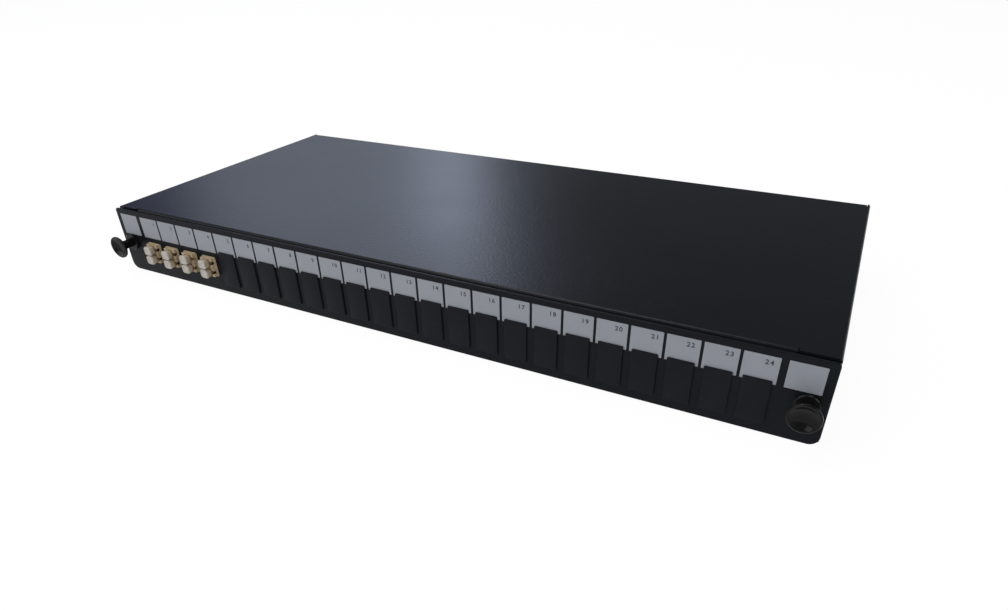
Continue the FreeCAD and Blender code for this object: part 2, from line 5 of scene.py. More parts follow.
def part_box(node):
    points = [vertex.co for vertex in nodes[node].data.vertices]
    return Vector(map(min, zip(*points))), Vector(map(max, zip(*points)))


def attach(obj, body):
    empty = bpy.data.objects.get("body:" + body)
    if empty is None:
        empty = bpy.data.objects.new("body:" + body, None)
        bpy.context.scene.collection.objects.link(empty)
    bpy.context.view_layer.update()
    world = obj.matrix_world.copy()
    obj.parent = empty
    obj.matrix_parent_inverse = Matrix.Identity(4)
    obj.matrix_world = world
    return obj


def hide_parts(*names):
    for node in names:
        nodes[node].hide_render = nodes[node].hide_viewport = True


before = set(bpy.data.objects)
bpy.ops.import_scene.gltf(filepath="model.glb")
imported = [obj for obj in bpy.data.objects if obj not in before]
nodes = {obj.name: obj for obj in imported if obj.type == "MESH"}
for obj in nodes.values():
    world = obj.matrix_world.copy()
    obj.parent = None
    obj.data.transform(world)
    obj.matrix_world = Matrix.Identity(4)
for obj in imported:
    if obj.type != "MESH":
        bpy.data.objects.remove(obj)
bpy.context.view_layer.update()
mm = 0.001
weld = {"copy": 1e-6, "turned": 1e-7, "rounded": 5e-6, "sliver": 2e-6, "flat": 0.4}  # metres; flat in degrees
adapterPorts = [name[-2:] for name in sorted(nodes) if name.startswith("adapter_") and "clip" not in name]
blankPorts = [name[-2:] for name in sorted(nodes) if name.startswith("blank_")]
print("frame loaded with", len(nodes), "nodes")


class Sock:
    # wraps one output of a shader tree, so that maths on surfaces reads as plain expressions
    def __init__(self, tree, out):
        self.tree = tree
        self.out = out

    def add(self, kind, settings=None, sockets=None, out=0):
        node = self.tree.nodes.new("ShaderNode" + kind)
        for key, value in (settings or {}).items():
            setattr(node, key, value)
        for key, value in (sockets or {}).items():
            if isinstance(value, Sock):
                self.tree.links.new(value.out, node.inputs[key])
            else:
                node.inputs[key].default_value = value
        return Sock(self.tree, node.outputs[out])

    def maths(self, operation, first, second):
        return self.add("Math", {"operation": operation}, {0: first, 1: second})

    def __add__(self, other):
        return self.maths("ADD", self, other)

    def __sub__(self, other):
        return self.maths("SUBTRACT", self, other)

    def __rsub__(self, other):
        return self.maths("SUBTRACT", other, self)

    def __mul__(self, other):
        return self.maths("MULTIPLY", self, other)

    def __lt__(self, other):
        return self.maths("LESS_THAN", self, other)

    __radd__ = __add__
    __rmul__ = __mul__

    def swing(self, amount):
        return amount * (self - 0.5)  # a noise made to go either way from nothing

    def noise(self, scale, detail=2.0, roughness=0.5):
        sockets = {"Vector": self, "Scale": scale, "Detail": detail, "Roughness": roughness}
        return self.add("TexNoise", None, sockets)

    def blend(self, first, second):
        # 6, 7 and 2 are the Mix node's sockets for colours, which share their names with others
        return self.add("Mix", {"data_type": "RGBA"}, {0: self, 6: first, 7: second}, 2)

    def bump(self, strength, distance):
        return self.add("Bump", None, {"Height": self, "Strength": strength, "Distance": distance})


def newFinish(name, surface, **plain):
    # surface gets the Object coordinates and gives what varies; plain values are set on the shader itself
    material = bpy.data.materials.new(name)
    material.use_nodes = True
    tree = material.node_tree
    shader = tree.nodes["Principled BSDF"]
    for key, value in plain.items():
        shader.inputs[key.replace("_", " ")].default_value = value
    start = Sock(tree, None).add("TexCoord", None, None, "Object")
    for key, value in surface(start).items():
        tree.links.new(value.out, shader.inputs[key])
    return material


coat = {"dark": (0.004, 0.0047, 0.0066, 1), "light": (0.007, 0.0082, 0.0112, 1), "cloudScale": 14,
        "rough": 0.25, "roughSpread": 0.08, "fineSpread": 0.05,
        "peelScale": 680, "fineScale": 2108, "fineShare": 0.3, "peelStrength": 0.7, "peelDepth": 0.00012,
        "dust": (0.20, 0.20, 0.21, 1), "dustScale": 11.0, "dustSize": 0.0045,
        "sheetGloss": 0.07, "coverGloss": 0.13}


def coatSurface(place):
    # black powder coat: faint clouds, an orange peel of two grains and a few specks of dust
    cloud = place.noise(coat["cloudScale"], detail=4)
    peel = place.noise(coat["peelScale"], roughness=0.4)
    fine = place.noise(coat["fineScale"], detail=1)
    cell = place.add("TexVoronoi", None, {"Vector": place, "Scale": coat["dustScale"]}, "Distance")
    speck = cell < coat["dustSize"]
    return {"Base Color": speck.blend(cloud.blend(coat["dark"], coat["light"]), coat["dust"]),
            "Roughness": coat["rough"] + coat["roughSpread"] * cloud + coat["fineSpread"] * fine,
            "Normal": (peel + coat["fineShare"] * fine).bump(coat["peelStrength"], coat["peelDepth"])}


powderCoat = newFinish("powderCoat", coatSurface, Specular_IOR_Level=coat["sheetGloss"])
coverCoat = newFinish("coverCoat", coatSurface, Specular_IOR_Level=coat["coverGloss"])

plastic = {"cloudScale": 60, "cloudSpread": 0.08, "grainSpread": 0.12, "grainStrength": 0.25}


def plasticFinish(name, dark, light, rough, grain, depth, **plain):
    # moulded plastic: faint clouds in the colour and a fine spark-eroded grain
    def surface(place):
        cloud = place.noise(plastic["cloudScale"], detail=3)
        grainy = place.noise(grain, roughness=0.6)
        return {"Base Color": cloud.blend((*dark, 1), (*light, 1)),
                "Roughness": rough + grainy.swing(plastic["grainSpread"]) + plastic["cloudSpread"] * cloud,
                "Normal": grainy.bump(plastic["grainStrength"], depth)}
    return newFinish(name, surface, **plain)


blankPlastic = plasticFinish("blankPlastic", dark=(0.0045, 0.0055, 0.0076), light=(0.007, 0.0084, 0.0112),
                             rough=0.40, grain=2600, depth=0.00003, Specular_IOR_Level=0.08)
latchPlastic = plasticFinish("latchPlastic", dark=(0.004, 0.004, 0.0046), light=(0.007, 0.007, 0.0078),
                             rough=0.13, grain=1800, depth=0.00001, Specular_IOR_Level=0.12)
adapterPlastic = plasticFinish("adapterPlastic", dark=(0.30, 0.232, 0.146), light=(0.355, 0.277, 0.176),
                               rough=0.40, grain=2200, depth=0.00002)
rearCapPlastic = plasticFinish("rearCapPlastic", dark=(0.31, 0.29, 0.25), light=(0.37, 0.35, 0.31),
                               rough=0.38, grain=2200, depth=0.00002)
glideNylon = plasticFinish("glideNylon", dark=(0.68, 0.68, 0.65), light=(0.76, 0.76, 0.74),
                           rough=0.45, grain=1500, depth=0.00003)
cassettePlastic = plasticFinish("cassettePlastic", dark=(0.26, 0.27, 0.29), light=(0.33, 0.34, 0.36),
                                rough=0.48, grain=1400, depth=0.00004)
lidPlastic = plasticFinish("lidPlastic", dark=(0.40, 0.42, 0.45), light=(0.43, 0.45, 0.48),
                           rough=0.22, grain=900, depth=0.00002)
combPlastic = plasticFinish("combPlastic", dark=(0.68, 0.68, 0.66), light=(0.75, 0.75, 0.73),
                            rough=0.5, grain=1400, depth=0.00003)
grommetRubber = plasticFinish("grommetRubber", dark=(0.012, 0.012, 0.012), light=(0.024, 0.024, 0.024),
                              rough=0.68, grain=1100, depth=0.00005)

steel = {"flakeShare": 0.6, "toneShare": 0.4, "toneRatio": 0.35, "toneSpread": 0.12,
         "streakScale": (3000, 40, 3000), "streakSpread": 0.10,
         "streakStrength": 0.08, "streakDepth": 0.00002}


def steelFinish(name, dark, light, rough, scale):
    # plated sheet: flakes of slightly different shade, with fine streaks along the piece
    def surface(place):
        flake = place.add("TexVoronoi", None, {"Vector": place, "Scale": scale}, "Color")
        shade = flake.add("SeparateColor", None, {"Color": flake})
        tone = place.noise(scale * steel["toneRatio"], detail=3)
        streak = place.add("Mapping", None, {"Vector": place, "Scale": steel["streakScale"]}).noise(1)
        mixed = steel["flakeShare"] * shade + steel["toneShare"] * tone
        return {"Base Color": mixed.blend((*dark, 1), (*light, 1)),
                "Roughness": rough + steel["toneSpread"] * tone + streak.swing(steel["streakSpread"]),
                "Normal": streak.bump(steel["streakStrength"], steel["streakDepth"])}
    return newFinish(name, surface, Metallic=1.0)


zincSteel = steelFinish("zincSteel", dark=(0.48, 0.49, 0.50), light=(0.62, 0.63, 0.64),
                        rough=0.34, scale=160)
springSteel = steelFinish("springSteel", dark=(0.58, 0.58, 0.57), light=(0.70, 0.70, 0.69),
                          rough=0.24, scale=900)

# painted shade deepens over two spans, in mm behind the cap's face: a tan painted shade on the head, then a
# dark painted shadow at the waist
capShadeTint = {"front": (0.315, 0.295, 0.27, 1), "rear": (0.325, 0.25, 0.165, 1), "waist": (0.12, 0.085, 0.05, 1),
           "headShadeSpan": (0.3, 3.1), "waistShadowSpan": (3.1, 4.4), "waver": 0.6, "cloudScale": 420,
           "rough": 0.36, "roughSpread": 0.12,
           "grainScale": 2200, "grainStrength": 0.2, "grainDepth": 0.00002}
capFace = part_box("dust_cap_01_upper")[0].y


def capSurface(place):
    # ivory plastic with painted shade: the head turns tan behind its face, and the waist takes a dark painted
    # shadow
    cloud = place.noise(capShadeTint["cloudScale"], detail=3)
    depth = place.add("SeparateXYZ", None, {"Vector": place}, "Y") + cloud.swing(capShadeTint["waver"] * mm)
    spans = [[capFace + reach * mm for reach in capShadeTint[key]] for key in ("headShadeSpan", "waistShadowSpan")]
    head, waist = [place.add("MapRange", None, {"Value": depth, "From Min": start, "From Max": end})
                   for start, end in spans]
    grain = place.noise(capShadeTint["grainScale"])
    # painted shade: the face's own colour, a tan painted shade behind it, then a dark painted shadow at the
    # waist
    return {"Base Color": waist.blend(head.blend(capShadeTint["front"], capShadeTint["rear"]), capShadeTint["waist"]),
            "Roughness": capShadeTint["rough"] + capShadeTint["roughSpread"] * cloud,
            "Normal": grain.bump(capShadeTint["grainStrength"], capShadeTint["grainDepth"])}


capShadedPlastic = newFinish("capShadedPlastic", capSurface)

card = {"dark": (0.178, 0.194, 0.224, 1), "light": (0.212, 0.227, 0.26, 1),
        "rough": 0.42, "roughSpread": 0.15, "cloudScale": 35, "cloudShare": 0.55,
        "fibreScale": 1700, "fibreShare": 0.45, "fibreStrength": 0.12, "fibreDepth": 0.00003}
ink = {"dark": (0.008, 0.008, 0.011, 1), "light": (0.024, 0.024, 0.03, 1), "rough": 0.45, "roughSpread": 0.2,
       "blotScale": 2400}


def cardSurface(place):
    fibre = place.noise(card["fibreScale"], detail=3, roughness=0.6)
    cloud = place.noise(card["cloudScale"])
    mixed = card["cloudShare"] * cloud + card["fibreShare"] * fibre
    return {"Base Color": mixed.blend(card["dark"], card["light"]),
            "Roughness": card["rough"] + card["roughSpread"] * fibre,
            "Normal": fibre.bump(card["fibreStrength"], card["fibreDepth"])}


def inkSurface(place):
    blot = place.noise(ink["blotScale"])
    return {"Base Color": blot.blend(ink["dark"], ink["light"]),
            "Roughness": ink["rough"] + ink["roughSpread"] * blot}


labelCard = newFinish("labelCard", cardSurface)
labelInk = newFinish("labelInk", inkSurface)
print("finishes made")


def boxOf(node):
    low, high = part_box(node)
    return (low + high) / 2, high - low


def finishPiece(name, bm, body, finishes, replaced=(), smooth=35, weighted=False):
    bmesh.ops.dissolve_degenerate(bm, dist=weld["sliver"], edges=bm.edges)
    mesh = bpy.data.meshes.new(name)
    bm.to_mesh(mesh)
    bm.free()
    mesh.polygons.foreach_set("use_smooth", [True] * len(mesh.polygons))
    mesh.set_sharp_from_angle(angle=math.radians(smooth))
    for finish in finishes:
        mesh.materials.append(finish)
    piece = bpy.data.objects.new(name, mesh)
    bpy.context.scene.collection.objects.link(piece)
    if weighted:  # broad flats keep their own normals beside small rounds
        piece.modifiers.new("flats", "WEIGHTED_NORMAL").keep_sharp = True
    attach(piece, body)
    if replaced:
        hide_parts(*replaced)


def mergedCopy(node):
    bm = bmesh.new()
    bm.from_mesh(nodes[node].data)
    bmesh.ops.remove_doubles(bm, verts=bm.verts, dist=weld["copy"])
    bmesh.ops.dissolve_limit(bm, angle_limit=math.radians(weld["flat"]), verts=bm.verts, edges=bm.edges)
    return bm


def sharpEdges(bm, angle=40):
    limit = math.radians(angle)
    return [e for e in bm.edges if len(e.link_faces) == 2 and e.calc_face_angle(0) > limit]


def depthEdges(bm, least):
    # edges that run from front to back
    return [e for e in bm.edges if abs(e.verts[0].co.y - e.verts[1].co.y) > least]


def roundEdges(bm, edges, width, segments=2):
    bmesh.ops.bevel(bm, geom=edges, offset=width, offset_type="OFFSET", segments=segments, profile=0.5,
                    affect="EDGES", clamp_overlap=True, material=-1)


def addBlock(bm, centre, size):
    # a box in its place; gives its verts
    made = bmesh.ops.create_cube(bm, size=1.0)["verts"]
    bmesh.ops.scale(bm, vec=size, verts=made)
    bmesh.ops.translate(bm, vec=centre, verts=made)
    return made


fullTurn = 2 * math.pi


def addTurned(bm, profile, centre, steps, angle=fullTurn, start=0.0):
    # (radius, reach) points in mm turned about a line along Y; reach counts towards the front
    axis = Vector((0, 1, 0))
    turn = Matrix.Rotation(start, 3, axis)
    points = [bm.verts.new(Vector(centre) + turn @ Vector((radius * mm, -reach * mm, 0)))
              for radius, reach in profile]
    edges = [bm.edges.new(pair) for pair in zip(points, points[1:])]
    bmesh.ops.spin(bm, geom=points + edges, cent=centre, axis=axis, angle=angle, steps=steps,
                   use_merge=angle == fullTurn)


# the rim's three widths count in from the fascia's outline and keep clear of its holes
sheets = {"edge": 0.55, "edgeSteps": 3, "rimBelow": 5.7, "rimAbove": 5.3, "rimBeside": 1.0,
          "lipFacing": -0.7, "smooth": 30}
fasciaLow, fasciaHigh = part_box("fascia")


def onRim(edge):
    lowest = fasciaLow.z + sheets["rimBelow"] * mm
    highest = fasciaHigh.z - sheets["rimAbove"] * mm
    widest = fasciaHigh.x - sheets["rimBeside"] * mm
    outer = all(v.co.z < lowest or v.co.z > highest or abs(v.co.x) > widest for v in edge.verts)
    return outer and abs(edge.verts[0].co.y - edge.verts[1].co.y) < weld["copy"]


def makeSheet(name, node, bm, body, finishes):
    finishPiece(name, bm, body, finishes, [node], sheets["smooth"], weighted=True)


makeSheet("sheet_housing_base", "housing_base", mergedCopy("housing_base"), "housing", [powderCoat])
makeSheet("sheet_tray_pan", "tray_pan", mergedCopy("tray_pan"), "tray", [powderCoat])
cover = mergedCopy("outer_cover")
for face in cover.faces:  # the lip in the gap behind the fascia is duller than the top
    face.material_index = int(face.normal.y < sheets["lipFacing"])
makeSheet("sheet_outer_cover", "outer_cover", cover, "housing", [coverCoat, powderCoat])
fascia = mergedCopy("fascia")
rimEdges = [e for e in sharpEdges(fascia) if onRim(e)]
roundEdges(fascia, rimEdges, sheets["edge"] * mm, sheets["edgeSteps"])
makeSheet("fasciaPlate", "fascia", fascia, "tray", [powderCoat])
print("sheet metal dressed")

blanks = {"plate": 1.0, "corner": 0.45, "cornerSteps": 4, "edge": 0.25, "edgeSteps": 3, "edgeAngle": 60,
          "skirt": (9.4, 12.2), "wall": 1.0, "hollow": 0.95,
          "catch": 0.6, "catchSize": (6, 2, 0.2), "catchPlace": 2.6}


def makeBlank(port):
    node = f"blank_{port}"
    centre, size = boxOf(node)
    front = centre.y - size.y / 2
    plate = blanks["plate"] * mm
    bm = bmesh.new()
    addBlock(bm, (centre.x, front + plate / 2, centre.z), (size.x, plate, size.z))
    roundEdges(bm, depthEdges(bm, plate / 2), blanks["corner"] * mm, blanks["cornerSteps"])
    frontEdges = [e for e in sharpEdges(bm, blanks["edgeAngle"])
                  if all(v.co.y < front + weld["copy"] for v in e.verts)]
    roundEdges(bm, frontEdges, blanks["edge"] * mm, blanks["edgeSteps"])
    depth = size.y - plate
    wide, tall = (side * mm for side in blanks["skirt"])
    verts = addBlock(bm, (centre.x, front + plate + depth / 2, centre.z), (wide, depth, tall))
    back = max({f for v in verts for f in v.link_faces}, key=lambda f: f.calc_center_median().y)
    bmesh.ops.inset_region(bm, faces=[back], thickness=blanks["wall"] * mm)
    hollow = bmesh.ops.extrude_discrete_faces(bm, faces=[back])["faces"]
    bmesh.ops.translate(bm, vec=(0, -depth * blanks["hollow"], 0), verts=hollow[0].verts)
    catchMiddle = front + plate + blanks["catchPlace"] * mm
    catchSize = [side * mm for side in blanks["catchSize"]]
    catchRise = (blanks["catch"] - blanks["catchSize"][2] / 2) * mm
    for way in (-1, 1):  # catches behind the cut-out's edges
        wedge = addBlock(bm, (centre.x, catchMiddle, centre.z + way * tall / 2), catchSize)
        outer = [v for v in wedge if (v.co.z - centre.z) * way > tall / 2 and v.co.y < catchMiddle]
        bmesh.ops.translate(bm, vec=(0, 0, way * catchRise), verts=outer)
    finishPiece(f"portBlank_{port}", bm, "tray", [blankPlastic], [node])


for port in blankPorts:
    makeBlank(port)
print("blanks made")

# digitShare is a digit's height as a share of the font's size
labels = {"width": 15.2, "low": 26.6, "high": 40.1, "thick": 0.12, "corner": 0.25, "cornerSteps": 3,
          "endShift": 209.3, "digitHeight": 2.3, "digitShare": 0.7, "digitSpacing": 1.25, "digitSteps": 4,
          "digitRight": 2.5, "digitTop": 1.9, "digitBold": 0.085, "inkThick": 0.02}
fasciaFront = fasciaLow.y


def addNumber(bm, word, right, top, front):
    # the number's outline, set from its right and top edges
    curve = bpy.data.curves.new("number", "FONT")
    curve.body = word
    curve.size = labels["digitHeight"] / labels["digitShare"] * mm
    curve.space_character = labels["digitSpacing"]
    curve.offset = labels["digitBold"] * mm
    curve.extrude = labels["inkThick"] * mm
    curve.resolution_u = labels["digitSteps"]
    holder = bpy.data.objects.new("number", curve)
    bpy.context.scene.collection.objects.link(holder)
    bpy.context.view_layer.update()
    mesh = bpy.data.meshes.new_from_object(holder.evaluated_get(bpy.context.evaluated_depsgraph_get()))
    mesh.transform(Matrix.Rotation(math.pi / 2, 4, "X"))
    rightEdge = max(v.co.x for v in mesh.vertices)
    topEdge = max(v.co.z for v in mesh.vertices)
    mesh.transform(Matrix.Translation((right - rightEdge, front, top - topEdge)))
    digits = bmesh.new()
    digits.from_mesh(mesh)
    bmesh.ops.remove_doubles(digits, verts=digits.verts, dist=weld["copy"])
    bmesh.ops.recalc_face_normals(digits, faces=digits.faces)
    for face in digits.faces:
        face.material_index = 1
    digits.to_mesh(mesh)
    digits.free()
    bm.from_mesh(mesh)
    bpy.data.objects.remove(holder)
    bpy.data.meshes.remove(mesh)


def makeLabel(name, x, word):
    low = labels["low"] * mm
    high = labels["high"] * mm
    thick = labels["thick"] * mm
    bm = bmesh.new()
    addBlock(bm, (x, fasciaFront - thick / 2, (low + high) / 2), (labels["width"] * mm, thick, high - low))
    roundEdges(bm, depthEdges(bm, thick / 2), labels["corner"] * mm, labels["cornerSteps"])
    if word:
        right = x + (labels["width"] / 2 - labels["digitRight"]) * mm
        addNumber(bm, word, right, high - labels["digitTop"] * mm, fasciaFront - thick)
    finishPiece(name, bm, "tray", [labelCard, labelInk])


for holder in [f"adapter_{port}" for port in adapterPorts] + [f"blank_{port}" for port in blankPorts]:
    port = holder[-2:]
    makeLabel(f"portLabel_{port}", boxOf(holder)[0].x, str(int(port)))
makeLabel("endLabel_left", -labels["endShift"] * mm, "")
makeLabel("endLabel_right", labels["endShift"] * mm, "")
print("labels made")

caps = {"corner": 1.7, "cornerSteps": 6, "tip": 0.6, "tipScale": 0.84, "dimple": 0.7, "dimpleDepth": 0.3,
        "waist": 4.6, "recess": 1.0, "plug": 4.9, "edge": 0.3, "edgeSteps": 3, "edgeAngle": 26, "smooth": 60}


def makeCap(port, place):
    # a broad rounded face on a head that narrows to its waist, and a plug in the socket
    node = f"dust_cap_{port}_{place}"
    centre, size = boxOf(node)
    front = centre.y - size.y / 2
    shoulder = front + caps["tip"] * mm
    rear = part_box(f"adapter_{port}")[0].y + caps["recess"] * mm
    middle = Matrix.Translation(-centre)
    bm = bmesh.new()
    addBlock(bm, (centre.x, (shoulder + rear) / 2, centre.z), (size.x, rear - shoulder, size.z))
    roundEdges(bm, depthEdges(bm, mm), caps["corner"] * mm, caps["cornerSteps"])
    nose = min(bm.faces, key=lambda f: f.calc_center_median().y)
    tail = max(bm.faces, key=lambda f: f.calc_center_median().y)
    narrow = (caps["waist"] * mm / size.x, 1, caps["waist"] * mm / size.z)
    bmesh.ops.scale(bm, vec=narrow, space=middle, verts=tail.verts)
    tip = bmesh.ops.extrude_discrete_faces(bm, faces=[nose])["faces"][0]
    bmesh.ops.translate(bm, vec=(0, front - shoulder, 0), verts=tip.verts)
    bmesh.ops.scale(bm, vec=(caps["tipScale"], 1, caps["tipScale"]), space=middle, verts=tip.verts)
    bmesh.ops.inset_region(bm, faces=[tip], thickness=caps["dimple"] * mm)
    bmesh.ops.translate(bm, vec=(0, caps["dimpleDepth"] * mm, 0), verts=tip.verts)
    ledge = bmesh.ops.extrude_discrete_faces(bm, faces=[tail])["faces"][0]
    wider = caps["plug"] / caps["waist"]
    bmesh.ops.scale(bm, vec=(wider, 1, wider), space=middle, verts=ledge.verts)
    plug = bmesh.ops.extrude_discrete_faces(bm, faces=[ledge])["faces"][0]
    bmesh.ops.translate(bm, vec=(0, centre.y + size.y / 2 - rear, 0), verts=plug.verts)
    roundEdges(bm, sharpEdges(bm, caps["edgeAngle"]), caps["edge"] * mm, caps["edgeSteps"])
    finishPiece(f"dustCap_{port}_{place}", bm, "tray", [capShadedPlastic], [node], caps["smooth"])


for port in adapterPorts:
    for place in ("upper", "lower"):
        makeCap(port, place)
print("caps made")


def cutAway(bm, places, size):
    # takes a box out of a mesh at each place
    knife = bmesh.new()
    for place in places:
        addBlock(knife, place, size)
    holders = []
    for form in (bm, knife):
        mesh = bpy.data.meshes.new("cut")
        form.to_mesh(mesh)
        form.free()
        holders.append(bpy.data.objects.new("cut", mesh))
        bpy.context.scene.collection.objects.link(holders[-1])
    holders[0].modifiers.new("cut", "BOOLEAN").object = holders[1]
    bpy.context.view_layer.update()
    left = bmesh.new()
    left.from_object(holders[0], bpy.context.evaluated_depsgraph_get())
    for holder in holders:
        bpy.data.objects.remove(holder)
    return left


catches = {"size": (1.4, 2.6, 2.0), "shift": 4.5, "depth": 0.8}
softEdges = {"adapter": 0.12, "rearCap": 0.1, "base": 0.2, "lid": 0.3, "comb": 0.15, "smooth": 30}


def softCopy(node, finish, edge, notches=()):
    # the node's own shape with its hard edges broken
    bm = mergedCopy(node)
    if notches:
        bm = cutAway(bm, notches, [side * mm for side in catches["size"]])
    roundEdges(bm, sharpEdges(bm), edge * mm)
    bmesh.ops.remove_doubles(bm, verts=bm.verts, dist=weld["rounded"])
    finishPiece("soft_" + node, bm, "tray", [finish], [node], softEdges["smooth"], weighted=True)


for port in adapterPorts:
    notches = []
    for place in ("upper", "lower"):  # the notch beside each socket opens through the side
        middle = boxOf(f"dust_cap_{port}_{place}")[0]
        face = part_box(f"adapter_{port}")[0].y
        notches.append((middle.x + catches["shift"] * mm, face + catches["depth"] * mm, middle.z))
    softCopy(f"adapter_{port}", adapterPlastic, softEdges["adapter"], notches)
    softCopy(f"rear_cap_{port}", rearCapPlastic, softEdges["rearCap"])
softCopy("cassette_base", cassettePlastic, softEdges["base"])
softCopy("cassette_lid", lidPlastic, softEdges["lid"])
softCopy("splice_comb", combPlastic, softEdges["comb"])
print("adapters and cassette dressed")

# radius and reach in mm from the fascia's front; slot is half a slot's width in degrees
knobs = {"stem": [(0, -3.8), (2.1, -3.8), (2.75, -3.1), (2.75, 6.5), (2.95, 7.3), (3.35, 8.1), (3.95, 8.8),
                  (4.75, 9.35), (5.7, 9.8), (6.5, 10.2), (7.0, 10.6), (7.2, 11.1), (7.2, 11.5), (7.05, 11.85),
                  (6.7, 12.0), (6.35, 11.9)],
         "dishEdge": 6.2, "dishReach": 11.85, "dishDepth": 2.2, "dishSteps": 9, "steps": 56, "smooth": 50,
         "collar": [(2.8, 2.0), (5.0, 2.0), (5.4, 1.6), (5.4, 0.0), (2.8, 0.0), (2.8, 2.0)],
         "leg": [(2.8, 0.0), (4.2, 0.0), (4.2, -7.4), (3.6, -8.0), (2.8, -8.0), (2.8, 0.0)],
         "slot": 8.2, "collarSteps": 48, "legSteps": 20, "collarSmooth": 40}
ballRadius = (knobs["dishEdge"] ** 2 + knobs["dishDepth"] ** 2) / (2 * knobs["dishDepth"])
ballReach = knobs["dishReach"] + ballRadius - knobs["dishDepth"]
knobProfile = list(knobs["stem"])
for step in range(knobs["dishSteps"] + 1):  # the hollow face is part of a ball
    radius = knobs["dishEdge"] * (1 - step / knobs["dishSteps"])
    knobProfile.append((radius, ballReach - math.sqrt(ballRadius ** 2 - radius ** 2)))


def makeLatch(side):
    node = side + "_latch_knob"
    centre = boxOf(node)[0]
    seat = (centre.x, fasciaFront, centre.z)
    bm = bmesh.new()
    addTurned(bm, knobProfile, seat, knobs["steps"])
    bmesh.ops.remove_doubles(bm, verts=bm.verts, dist=weld["turned"])
    bmesh.ops.recalc_face_normals(bm, faces=bm.faces)
    finishPiece(side + "Knob", bm, side + "_latch", [latchPlastic], [node], knobs["smooth"])
    bm = bmesh.new()
    addTurned(bm, knobs["collar"], seat, knobs["collarSteps"])
    gap = math.radians(knobs["slot"])
    for way in (0, math.pi):  # two legs with a slot above and below
        addTurned(bm, knobs["leg"], seat, knobs["legSteps"], math.pi - 2 * gap, way - math.pi / 2 + gap)
    bmesh.ops.remove_doubles(bm, verts=bm.verts, dist=weld["turned"])
    bmesh.ops.holes_fill(bm, edges=[e for e in bm.edges if e.is_boundary], sides=0)
    bmesh.ops.recalc_face_normals(bm, faces=bm.faces)
    finishPiece(side + "Collar", bm, "tray", [latchPlastic], ["latch_collars"],
                knobs["collarSmooth"])


makeLatch("left")
makeLatch("right")
print("latches made")

grommets = {"profile": [(6.5, -2.2), (7.2, -2.85), (11.8, -2.85), (12.5, -2.2), (12.5, -1.2), (11.9, -0.65),
                        (10.45, -0.65), (10.45, 0.65), (11.9, 0.65), (12.5, 1.2), (12.5, 2.2), (11.8, 2.85),
                        (7.2, 2.85), (6.5, 2.2), (6.5, -2.2)],
            "steps": 64, "smooth": 50}


def makeGrommets():
    low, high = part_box("cable_grommets")
    flange = (high.z - low.z) / 2
    bm = bmesh.new()
    for x in (low.x + flange, high.x - flange):
        addTurned(bm, grommets["profile"], (x, (low.y + high.y) / 2, (low.z + high.z) / 2), grommets["steps"])
    bmesh.ops.remove_doubles(bm, verts=bm.verts, dist=weld["turned"])
    bmesh.ops.recalc_face_normals(bm, faces=bm.faces)
    finishPiece("cableGrommets", bm, "housing", [grommetRubber], ["cable_grommets"],
                grommets["smooth"])


screws = {"head": [(0, 0), (3.0, 0), (3.0, 0.2), (2.75, 0.45), (2.3, 0.58), (1.9, 0.62)], "steps": 48,
          "socket": 1.25, "socketDepth": 0.45, "socketSides": 6,
          "places": (-180, -60, 60, 180), "below": 5.0, "smooth": 40}


def makeScrews():
    # low button heads with a hexagon socket, along the lip over the rear wall
    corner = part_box("outer_cover")[1]
    head = [(radius, -rise) for radius, rise in screws["head"]]
    crown = Vector((0, screws["head"][-1][1] * mm, 0))
    upright = Matrix.Rotation(math.pi / 2, 4, "X")
    bm = bmesh.new()
    for x in screws["places"]:
        seat = Vector((x * mm, corner.y, corner.z - screws["below"] * mm))
        addTurned(bm, head, seat, screws["steps"])
        bmesh.ops.remove_doubles(bm, verts=bm.verts, dist=weld["turned"])
        rim = [e for e in bm.edges if e.is_boundary]
        hexagon = bmesh.ops.create_circle(bm, segments=screws["socketSides"], radius=screws["socket"] * mm,
                                          matrix=Matrix.Translation(seat + crown) @ upright)["verts"]
        sides = list({e for v in hexagon for e in v.link_edges})
        bmesh.ops.subdivide_edges(bm, edges=sides, cuts=screws["steps"] // screws["socketSides"] - 1)
        sides = [e for e in bm.edges if e.is_wire]
        bmesh.ops.bridge_loops(bm, edges=rim + sides)
        well = bmesh.ops.extrude_edge_only(bm, edges=sides)["geom"]
        deep = [v for v in well if isinstance(v, bmesh.types.BMVert)]
        bmesh.ops.translate(bm, vec=(0, -screws["socketDepth"] * mm, 0), verts=deep)
        foot = [e for e in well if isinstance(e, bmesh.types.BMEdge) and e.is_boundary]
        bmesh.ops.contextual_create(bm, geom=foot)
    bmesh.ops.recalc_face_normals(bm, faces=bm.faces)
    finishPiece("rearScrews", bm, "housing", [zincSteel], smooth=screws["smooth"])


makeGrommets()
makeScrews()
plainNodes = {"left_rail": zincSteel, "right_rail": zincSteel,
              "left_glide": glideNylon, "right_glide": glideNylon}
for port in adapterPorts:
    plainNodes[f"adapter_clip_{port}"] = springSteel
for node, finish in plainNodes.items():  # these solids keep their own shape
    nodes[node].data.materials.clear()
    nodes[node].data.materials.append(finish)
print("small parts made")

studio = {"floor": 14.0, "floorDrop": 0.2, "floorShade": (0.97, 0.97, 0.97, 1), "floorWhite": 0.96,
          "worldShade": (0.135, 0.138, 0.146, 1), "white": (1, 1, 1, 1)}


